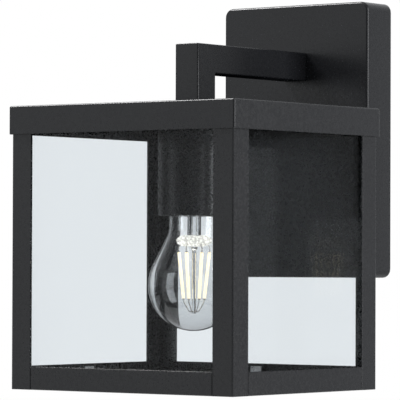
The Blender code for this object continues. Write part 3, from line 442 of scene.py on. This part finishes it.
def make_screws():
    for wall in WALLS:
        node = f"clip_screw_{wall}"
        low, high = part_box(node)
        middle = centre_of(node)
        turn = Matrix.Translation((middle.x, middle.y, 0))
        shank = 1.5 * MM
        head = (high.x - low.x) / 2
        head_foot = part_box(f"pane_clip_{wall}")[0].z + 1.1 * MM
        profile = [(0, low.z), (shank, low.z), (shank, head_foot), (head, head_foot)]
        for step in range(1, 7):
            angle = math.radians(15 * step)
            profile.append((head * math.cos(angle), head_foot + (high.z - head_foot) * math.sin(angle)))
        profile[-1] = (0, high.z)
        screw = lathe(f"{node}_fine", profile, ZINC, 32, turn)
        carve(screw, cross_cutters(node, high.z, turn, 1.6 * MM, 1.0 * MM))
        finish_piece(screw, "lantern", [node])

    for name, up in (("top", 1), ("bottom", -1)):
        node = f"plate_screw_{name}"
        low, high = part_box(node)
        middle = centre_of(node)
        outer = (high.z if up > 0 else -low.z)
        inner = (low.z if up > 0 else -high.z)
        turn = Matrix.Translation((middle.x, middle.y, 0))
        if up < 0:
            turn = turn @ Matrix.Rotation(math.pi, 4, "X")
        head = (high.x - low.x) / 2
        shank = 1.75 * MM
        foot = outer - 1.1 * MM
        profile = filleted([(0, outer), (head, outer), (shank, foot), (shank, inner + 0.6 * MM),
                            (shank - 0.6 * MM, inner), (0, inner)], 0.08 * MM, 2)
        pitch = 0.7 * MM

        def thread(radius, height, angle, shank=shank, foot=foot, inner=inner, pitch=pitch):
            if radius < shank - 0.01 * MM or height > foot or height < inner + 0.3 * MM:
                return radius, height
            return radius - 0.16 * MM * (0.5 + 0.5 * math.cos(2 * math.pi * height / pitch - angle)), height

        dense = densify(profile, 0.12 * MM)
        screw = lathe(f"{node}_fine", dense, DARK_ZINC, 24, turn, thread)
        carve(screw, cross_cutters(node, outer, turn, 1.7 * MM, 0.9 * MM))
        finish_piece(screw, "lantern", [node])


def densify(profile, spacing):
    dense = []
    for here, after in zip(profile, profile[1:]):
        here = Vector(here)
        after = Vector(after)
        count = max(1, round((after - here).length / spacing)) if here.x and after.x else 1
        dense += [here.lerp(after, step / count) for step in range(count)]
    return dense + [Vector(profile[-1])]


def make_grounding():
    node = "plate_ground_stud"
    low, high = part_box(node)
    turn = points_along((0, low.y, (low.z + high.z) / 2), (0, high.y, (low.z + high.z) / 2))
    length = high.y - low.y
    flange = (high.z - low.z) / 2
    shank = 2.0 * MM
    profile = filleted([(0, 0), (flange, 0), (flange, 1.0 * MM), (shank, 1.0 * MM),
                        (shank, length - 0.5 * MM), (shank - 0.5 * MM, length), (0, length)], 0.12 * MM, 2)

    def thread(radius, height, angle):
        if radius < shank - 0.01 * MM or radius > shank + 0.01 * MM or height < 1.3 * MM:
            return radius, height
        return radius - 0.18 * MM * (0.5 + 0.5 * math.cos(2 * math.pi * height / (0.8 * MM) - angle)), height

    stud = lathe(f"{node}_fine", densify(profile, 0.14 * MM), ZINC, 24, turn, thread)
    finish_piece(stud, "lantern", [node])

    # Ring terminals on both ends of the ground wire: an eyelet round each thread and its crimped barrel.
    for name, level, height in (("bracket", -2.8 * MM, -20 * MM), ("plate", low.y + 2.2 * MM, -48 * MM)):
        ring = filleted([(2.35 * MM, -0.4 * MM), (4.1 * MM, -0.4 * MM),
                         (4.1 * MM, 0.4 * MM), (2.35 * MM, 0.4 * MM)], 0.15 * MM, 2)
        place = points_along((0, level, height), (0, level + 1, height))
        finish_piece(lathe(f"ring_terminal_{name}", ring, ZINC, 32, place), "lantern", [])
        barrel = filleted([(0, 0), (1.15 * MM, 0), (1.25 * MM, 4.2 * MM), (0, 4.2 * MM)], 0.2 * MM, 2)
        place = points_along((3.6 * MM, level, height), (9 * MM, level, height))
        finish_piece(lathe(f"terminal_barrel_{name}", barrel, ZINC, 20, place), "lantern", [])


# ---------------------------------------------------------------- socket and wires

THREAD_PITCH = 3.62 * MM
THREAD_DEPTH = 0.8 * MM


def helix(mean, top, bottom):
    """A thread between two heights that fades out at both of its ends.

    Its phase is taken from height zero, so that the bulb's thread and the shell's lie in each other.
    """
    def bend(radius, height, angle):
        if abs(radius - mean) > 0.02 * MM:
            return radius, height
        below_top = max(0.0, (top - height) / THREAD_PITCH * 2)
        above_bottom = max(0.0, (height - bottom) / THREAD_PITCH * 2)
        fade = min(1.0, below_top, above_bottom)
        wave = math.cos(2 * math.pi * height / THREAD_PITCH - angle)
        return mean + fade * THREAD_DEPTH / 2 * wave, height
    return bend


def make_socket():
    low, high = cup_low, cup_high
    radius = (high.x - low.x) / 2
    wall = 1.0 * MM
    hole = 5.3 * MM
    profile = filleted([(hole, high.z), (radius, high.z), (radius, low.z), (radius - wall, low.z),
                        (radius - wall, high.z - wall), (hole, high.z - wall)], 0.45 * MM, 5)
    cup = lathe("socket_cup_fine", profile, BLACK, 128)
    finish_piece(cup, "lantern", ["socket_cup"])

    refined("socket_body", PORCELAIN, width=0.5, segments=3)

    low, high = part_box("socket_shell")
    outer = (high.x - low.x) / 2
    lip = 9.7 * MM
    sheet = 0.5 * MM
    mean = 13.15 * MM
    rows = [(mean, low.z + (high.z - sheet - low.z) * step / 90) for step in range(91)]
    profile = [(lip, high.z - sheet), (lip, high.z), (outer, high.z), (outer, low.z)] + rows
    shell = lathe("socket_shell_fine", profile, BRASS, 64, None, helix(mean, high.z - 5 * MM, low.z + 2 * MM))
    finish_piece(shell, "lantern", ["socket_shell"])


def make_wires():
    """The same routes as the solids, so that each wire lies where its solid is."""
    arm_low, arm_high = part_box("arm")
    level = arm_high.z - (arm_high.x - arm_low.x) / 2
    plate_depth = -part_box("wall_plate")[0].y
    inside = -plate_depth + 1.2 * MM
    floor_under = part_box("socket_shell")[1].z + 0.3 * MM
    floor_top = floor_under + 3.5 * MM
    neck_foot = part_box("top_nipple")[0].z - 1.0 * MM
    nipple_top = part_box("top_nipple")[1].z
    cap_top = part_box("cap")[1].z
    end_y = -plate_depth / 2
    chamber_foot = floor_top + 1.5 * MM
    bend = 7 * MM
    for name, side, hole_x, material, slot in (("live", -1, -7.0 * MM, BLACK_WIRE, "black_insulation"),
                                               ("neutral", 1, 11.3 * MM, WHITE_WIRE, "white_insulation")):
        close = side * 1.35 * MM
        stops = [(hole_x, AXIS_Y, floor_under + 0.05 * MM), (hole_x, AXIS_Y, chamber_foot)]
        for step in range(1, 6):
            share = 0.5 + 0.5 * math.cos(math.pi * step / 5)
            height = chamber_foot + (neck_foot - chamber_foot) * step / 5
            stops.append((close + (hole_x - close) * share, AXIS_Y, height))
        end_z = level - 28 * MM
        stops += [
            (close, AXIS_Y, cap_top),
            (close, AXIS_Y, nipple_top + 2 * MM),
            (close, AXIS_Y + 0.3 * bend, level - 0.3 * bend),
            (close, AXIS_Y + bend + 3 * MM, level),
            (close, AXIS_Y / 2, level),
            (close, -plate_depth - 6 * MM, level),
            (close, -plate_depth, level),
            (close + side * 0.5 * MM, inside + 1.5 * MM, level),
            (side * 5 * MM, end_y - 6 * MM, level - 2 * MM),
            (side * 11.7 * MM, end_y, level - 11 * MM),
            (side * 13 * MM, end_y, end_z),
        ]
        tube(f"{name}_wire_fine", stops, 1.2 * MM, material, "lantern", [f"{name}_wire"], sides=5)

        node = f"wire_nut_{name}"
        low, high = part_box(node)
        middle = centre_of(node)
        turn = Matrix.Translation((middle.x, middle.y, 0))
        mouth = (high.x - low.x) / 2
        tip = 4.0 * MM
        bore = 3.2 * MM
        profile = filleted([(0, high.z - 7 * MM), (bore, high.z - 7 * MM), (bore, high.z), (mouth, high.z),
                            (mouth, high.z - 6 * MM), (tip, low.z + 1.2 * MM), (tip - 1.2 * MM, low.z),
                            (0, low.z)], 0.5 * MM, 3)

        def ribs(radius, height, angle, high=high, bore=bore):
            if radius <= bore + 0.1 * MM or height > high.z - 3 * MM:
                return radius, height
            return radius * (1 - 0.07 * (0.5 - 0.5 * math.cos(12 * angle)) ** 2), height

        nut = lathe(f"{node}_fine", densify(profile, 0.8 * MM), ORANGE, 96, turn, ribs)
        finish_piece(nut, "lantern", [node])

    refined("ground_wire", GREEN_WIRE, width=0.05, segments=1)


# ---------------------------------------------------------------- the bulb

def envelope_outline(offset, steps):
    """The bulb's outline from its lowest point up to the base, moved inwards by offset."""
    low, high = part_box("bulb_glass")
    radius = (high.x - low.x) / 2
    base_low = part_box("bulb_base")[0].z
    centre = low.z + radius
    slope = math.radians(26)
    neck = 16.3 * MM
    fillet = 20 * MM
    collar = 11.4 * MM
    outline = [(0, low.z + offset)]
    for step in range(1, steps):
        angle = math.radians(-90 + (90 + 26) * step / (steps - 1))
        outline.append(((radius - offset) * math.cos(angle), centre + (radius - offset) * math.sin(angle)))
    fillet_x = neck + fillet
    fillet_z = centre + ((radius + fillet) - fillet_x * math.cos(slope)) / math.sin(slope)
    for step in range(13):
        angle = slope * (1 - step / 12)
        reach = fillet + offset
        outline.append((fillet_x - reach * math.cos(angle), fillet_z - reach * math.sin(angle)))
    outline.append((neck - offset, base_low - 5.3 * MM))
    shoulder = base_low - 0.3 * MM - offset
    for step in range(9):
        angle = math.radians(90 * step / 8)
        x = collar + 1.4 * MM - offset + (neck - collar - 1.4 * MM) * math.cos(angle)
        outline.append((x, shoulder - 4 * MM + 4 * MM * math.sin(angle)))
    outline.append((collar - offset, shoulder))
    outline.append((collar - offset, base_low + 7 * MM))
    return outline


def make_envelope():
    outside = envelope_outline(0, 40)
    inside = envelope_outline(0.65 * MM, 40)
    envelope = lathe("bulb_envelope", outside + inside[::-1], LAMP, 128)
    finish_piece(envelope, "bulb", ["bulb_glass"])


def make_stem():
    low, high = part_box("bulb_stem")
    crown = (high.x - low.x) / 2
    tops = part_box("filament_1")[1].z
    crown_low = tops + 0.3 * MM
    crown_high = crown_low + 7.8 * MM
    outer = 4.5 * MM
    inner = 3.5 * MM
    rod = 1.3 * MM

    tube_profile = filleted([(inner, crown_high - 0.5 * MM), (outer, crown_high - 0.5 * MM),
                             (outer, high.z - 10 * MM), (outer + 1.2 * MM, high.z - 5 * MM),
                             (10.2 * MM, high.z - 1 * MM), (10.2 * MM, high.z), (9.2 * MM, high.z),
                             (outer + 0.3 * MM, high.z - 4.5 * MM), (inner, high.z - 9.5 * MM)], 0.8 * MM, 4)
    stem = lathe("stem_tube", tube_profile, LAMP, 64)
    finish_piece(stem, "bulb", ["bulb_stem"])

    # The pressed crown holds the six support wires: six thick lobes round a waisted middle.
    rows = []
    for step in range(17):
        angle = math.radians(-90 + 180 * step / 16)
        rows.append((crown * max(0.0, math.cos(angle)) ** 0.55,
                     (crown_low + crown_high) / 2 + (crown_high - crown_low) / 2 * math.sin(angle)))
    rows[0] = (0, crown_low)
    rows[-1] = (0, crown_high - 0.6 * MM)

    def lobes(radius, height, angle):
        share = radius / crown
        wave = 0.5 + 0.5 * math.cos(6 * angle)
        crease = 0.25 * math.sin(18 * angle) ** 2
        middle = (crown_low + crown_high) / 2
        pinch = 1 - 0.35 * share * (1 - wave)
        return radius * (1 - share * (0.30 * (1 - wave) + 0.06 * crease)), middle + (height - middle) * pinch

    press = lathe("stem_press", rows, PRESS, 144, None, lobes)
    finish_piece(press, "bulb", [])

    rod_top = crown_low - 0.2 * MM
    rod_profile = filleted([(0, low.z), (rod, low.z), (rod, crown_low - 2.5 * MM), (2.6 * MM, rod_top),
                            (0, rod_top)], 0.5 * MM, 4)
    finish_piece(lathe("stem_rod", rod_profile, LAMP, 32), "bulb", [])

    for side in (-1, 1):
        stops = [(side * 1.7 * MM, AXIS_Y, crown_high + 0.1 * MM),
                 (side * 1.7 * MM, AXIS_Y, (crown_high + high.z) / 2),
                 (side * 2.0 * MM, AXIS_Y, high.z - 6 * MM),
                 (side * 3.2 * MM, AXIS_Y, high.z + 3 * MM)]
        tube(f"lead_wire_{'a' if side < 0 else 'b'}", stops, 0.3 * MM, NICKEL, "bulb")


FILAMENT_TURN = 37.0          # degrees from the X axis to the first stick
FILAMENT_COUNT = 6
FOOT_RING = 6.55              # millimetres from the bulb's axis
TOP_RING = 10.35
BARE_FOOT = 3.0 * MM          # support wire below each stick
BARE_TOP = 3.2 * MM           # and above it
STICK_RADIUS = 1.05 * MM
SUPPORT_WIRE = 0.3 * MM


def make_filaments():
    crown_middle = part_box("filament_1")[1].z + 4.2 * MM
    hub_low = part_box("filament_hub")[0]
    for index in range(FILAMENT_COUNT):
        node = f"filament_{index + 1}"
        low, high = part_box(node)
        angle = math.radians(FILAMENT_TURN + 360 / FILAMENT_COUNT * index)
        spoke = Vector((math.cos(angle), math.sin(angle), 0))
        axis = Vector((AXIS_X, AXIS_Y, 0))
        foot = axis + spoke * FOOT_RING * MM + Vector((0, 0, low.z + 0.1 * MM))
        top = axis + spoke * TOP_RING * MM + Vector((0, 0, high.z - 0.1 * MM))
        way = (top - foot).normalized()
        length = (top - foot).length
        start = BARE_FOOT
        end = length - BARE_TOP
        profile = filleted([(0, start), (STICK_RADIUS, start), (STICK_RADIUS, end), (0, end)], 0.5 * MM, 5)
        stick = lathe(f"{node}_stick", profile, PHOSPHOR, 24, points_along(foot, top))
        finish_piece(stick, "bulb", [node])
        # A pressed metal foot at each end of the stick, its pin, and the support wire up into the crown.
        for name, at, way_out in (("foot", start, -1), ("head", end, 1)):
            place = foot + way * at
            outline = [(0, -0.5 * MM), (0.75 * MM, -0.5 * MM), (0.55 * MM, 0.9 * MM), (0, 0.9 * MM)]
            cap = filleted(outline, 0.15 * MM, 3)
            piece = lathe(f"{node}_{name}_cap", cap, NICKEL, 16, points_along(place, place + way * way_out))
            finish_piece(piece, "bulb", [])
        heel = axis + spoke * 2.2 * MM + Vector((0, 0, hub_low.z + 0.3 * MM))
        stops = [heel, heel + spoke * 0.9 * MM + Vector((0, 0, 0.2 * MM)), foot - spoke * 0.3 * MM,
                 foot + way * 1.3 * MM, foot + way * start]
        tube(f"{node}_pin", stops, SUPPORT_WIRE, NICKEL, "bulb", spacing=0.0005)
        knee = foot + way * (length - 0.5 * MM)
        stops = [foot + way * end, knee, knee + Vector((0, 0, 1.8 * MM)) - spoke * 1.2 * MM,
                 axis + spoke * 5.0 * MM + Vector((0, 0, crown_middle))]
        tube(f"{node}_support", stops, SUPPORT_WIRE, NICKEL, "bulb", spacing=0.0005)

    bore = 1.6 * MM
    profile = filleted([(bore, hub_low.z), (2.6 * MM, hub_low.z), (2.6 * MM, hub_low.z + 0.8 * MM),
                        (bore, hub_low.z + 0.8 * MM)], 0.3 * MM, 3)
    finish_piece(lathe("filament_hub_fine", profile, NICKEL, 40), "bulb", ["filament_hub"])


def make_base():
    low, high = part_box("bulb_base")
    mean = 12.7 * MM
    inner = mean - THREAD_DEPTH / 2 - 0.4 * MM
    cone = 9.0 * MM
    thread_top = high.z - 2.6 * MM
    rim = (high.x - low.x) / 2
    thread_bottom = thread_top - 5 * THREAD_PITCH
    rows = [(mean, thread_top - (thread_top - thread_bottom) * step / 100) for step in range(101)]
    profile = [(cone, high.z), (mean - 1.2 * MM, thread_top + 1.2 * MM)] + rows
    profile += [(rim - 0.1 * MM, thread_bottom - 0.5 * MM), (rim, low.z + 0.3 * MM), (rim - 0.2 * MM, low.z),
                (inner, low.z), (inner, thread_top), (cone - 0.6 * MM, high.z - 0.5 * MM)]
    base = lathe("bulb_base_fine", profile, NICKEL, 72, None, helix(mean, thread_top, thread_bottom))
    finish_piece(base, "bulb", ["bulb_base"])
    refined("bulb_insulator", VITRITE, "bulb", width=0.3)
    refined("bulb_contact", NICKEL, "bulb", width=0.25)


# ---------------------------------------------------------------- studio

def make_studio():
    world = bpy.data.worlds.new("studio")
    bpy.context.scene.world = world
    world.use_nodes = True
    tree = world.node_tree
    background = tree.nodes["Background"]
    place = tree.nodes.new("ShaderNodeTexCoord").outputs["Generated"]
    turn = tree.nodes.new("ShaderNodeVectorMath")
    turn.operation = "DOT_PRODUCT"
    turn.inputs[1].default_value = SKY_WAY
    tree.links.new(place, turn.inputs[0])
    ramp = tree.nodes.new("ShaderNodeValToRGB")
    elements = ramp.color_ramp.elements
    while len(elements) < len(SKY):
        elements.new(0.5)
    for element, (place_on, level) in zip(elements, SKY):
        element.position = place_on
        element.color = (0.96 * level, 0.98 * level, level, 1.0)
    spread = tree.nodes.new("ShaderNodeMapRange")
    spread.inputs["From Min"].default_value = -1.0
    tree.links.new(turn.outputs["Value"], spread.inputs["Value"])
    tree.links.new(spread.outputs["Result"], ramp.inputs["Fac"])
    pick = tree.nodes.new("ShaderNodeMix")
    pick.data_type = "RGBA"
    pick.inputs[7].default_value = (1.0, 1.0, 1.0, 1.0)
    tree.links.new(tree.nodes.new("ShaderNodeLightPath").outputs["Is Camera Ray"], pick.inputs[0])
    tree.links.new(ramp.outputs["Color"], pick.inputs[6])
    tree.links.new(pick.outputs[2], background.inputs["Color"])
    background.inputs["Strength"].default_value = 1.0

    work = bmesh.new()
    level = Matrix.Translation((0, 0, FLOOR_LEVEL))
    bmesh.ops.create_grid(work, x_segments=8, y_segments=8, size=FLOOR_HALF, matrix=level)
    floor = new_object("floor", work, floor_paint())

    for name, bearing, rise, reach, size, power, colour in LIGHTS:
        swing = math.radians(bearing)
        toward = -math.cos(swing) * Vector(BACKDROP_WAY)
        across = math.sin(swing) * Vector((math.cos(AZIMUTH), math.sin(AZIMUTH), 0))
        place = LAMP_CENTRE + reach * (toward + across) + Vector((0, 0, rise))
        lamp = bpy.data.lights.new(name, "AREA")
        lamp.shape = "RECTANGLE"
        lamp.size, lamp.size_y = size
        lamp.energy = power
        lamp.color = colour
        item = bpy.data.objects.new(name, lamp)
        item.location = place
        aim = LAMP_CENTRE - place
        item.rotation_euler = aim.to_track_quat("-Z", "Y").to_euler()
        bpy.context.scene.collection.objects.link(item)


FLOOR_HALF = 4.0
FLOOR_LEVEL = -1.2
AZIMUTH = math.radians(37.35)         # how far the camera stands round to the right
PITCH = math.radians(1.145)
ROLL = math.radians(0.2)
DISTANCE = 2.0527
SENSOR = 36.0
LENS = 282.24
EYE_HEIGHT = -0.0832
ASIDE = 0.0033
SKY_TURN = math.radians(-30)
BACKDROP_WAY = (-math.sin(AZIMUTH), math.cos(AZIMUTH), 0.0)
SKY_WAY = (-math.sin(AZIMUTH + SKY_TURN), math.cos(AZIMUTH + SKY_TURN), 0.0)
LAMP_CENTRE = Vector((AXIS_X, AXIS_Y, -0.05))
# The surroundings' brightness by direction, from 0 facing away from SKY_WAY to 1 along it.
SKY = ((0.0, 0.08), (0.07, 0.20), (0.13, 0.90), (0.20, 0.82), (0.27, 0.10), (0.45, 0.05), (0.60, 0.50),
       (0.70, 0.22), (0.855, 0.08), (0.92, 1.06))
# Each light: name, bearing to the right of the camera, height above the lamp, distance, size, power, colour.
LIGHTS = (
    ("key_right", 70, 0.05, 0.9, (0.45, 1.2), 8.0, (0.97, 0.98, 1.0)),
    ("edge_strip", 24, 0.15, 1.8, (0.2, 1.4), 0.9, (1.0, 1.0, 1.0)),
    ("upper_left", -105, 1.35, 1.1, (0.6, 0.6), 30.0, (1.0, 1.0, 1.0)),
    ("top", 0, 2.0, 0.3, (1.2, 1.2), 4.0, (1.0, 1.0, 1.0)),
)


def make_camera():
    """The studio camera: in front and to the right, a little below the lid, looking slightly up."""
    data = bpy.data.cameras.new("camera")
    data.sensor_width = SENSOR
    data.lens = LENS
    data.clip_start = 0.05
    data.clip_end = 50
    camera = bpy.data.objects.new("camera", data)
    across = Vector((math.cos(AZIMUTH), math.sin(AZIMUTH), 0))
    flat = Vector((-math.sin(AZIMUTH), math.cos(AZIMUTH), 0))
    level = math.cos(PITCH)
    ahead = Vector((-math.sin(AZIMUTH) * level, math.cos(AZIMUTH) * level, math.sin(PITCH)))
    up = across.cross(ahead)
    right = across * math.cos(ROLL) + up * math.sin(ROLL)
    up = right.cross(ahead)
    place = Vector((AXIS_X, AXIS_Y, 0)) + across * ASIDE - flat * DISTANCE
    place.z = EYE_HEIGHT
    camera.matrix_world = Matrix.Translation(place) @ Matrix((right, up, -ahead)).transposed().to_4x4()
    bpy.context.scene.collection.objects.link(camera)
    bpy.context.scene.camera = camera


def main():
    scene = bpy.context.scene
    scene.view_settings.view_transform = "Standard"
    scene.cycles.max_bounces = 32
    scene.cycles.transmission_bounces = 32
    make_metalwork()
    make_screws()
    make_grounding()
    make_socket()
    make_wires()
    make_envelope()
    make_stem()
    make_filaments()
    make_base()
    make_studio()
    make_camera()


main()
